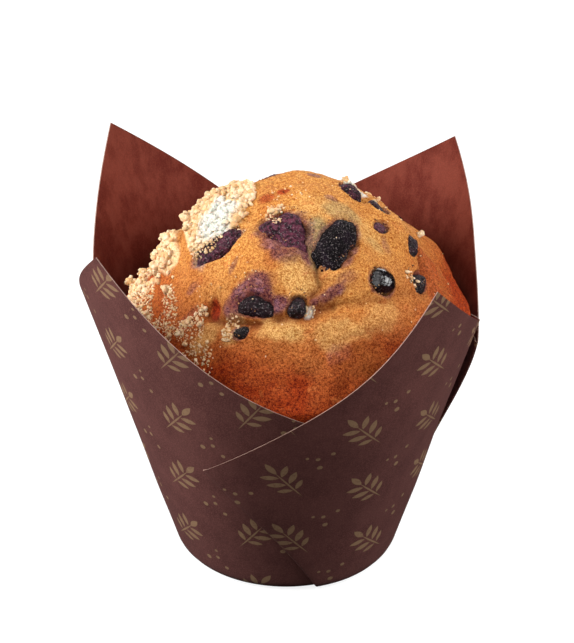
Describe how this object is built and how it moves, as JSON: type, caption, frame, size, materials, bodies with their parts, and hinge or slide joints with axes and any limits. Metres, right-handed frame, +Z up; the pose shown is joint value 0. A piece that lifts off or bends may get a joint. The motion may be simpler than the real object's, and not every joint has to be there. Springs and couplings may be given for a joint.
{
  "type": "muffin",
  "caption": "Domed berry muffin with crumble on top, baked in a folded paper case whose four points stand up round it.",
  "frame": {"origin": "middle of the flat foot of the paper case, on the surface it stands on", "axes": "+Z up, -Y towards the front, where one pleat of the paper lies, +X to the right"},
  "size_m": [0.0908, 0.0877, 0.0925],
  "materials": {
    "paper": "matte",
    "crust": "matte",
    "crumble": "matte",
    "berry": "satin"
  },
  "bodies": {
    "root": {"wrap": "paper", "muffin": "crust", "berry_1": "berry", "berry_2": "berry", "berry_3": "berry", "berry_4": "berry", "berry_5": "berry", "berry_6": "berry", "berry_7": "berry", "berry_8": "berry", "berry_9": "berry", "berry_10": "berry", "berry_11": "berry", "berry_12": "berry", "berry_13": "berry", "berry_14": "berry", "berry_15": "berry", "berry_16": "berry"}
  },
  "joints": []
}
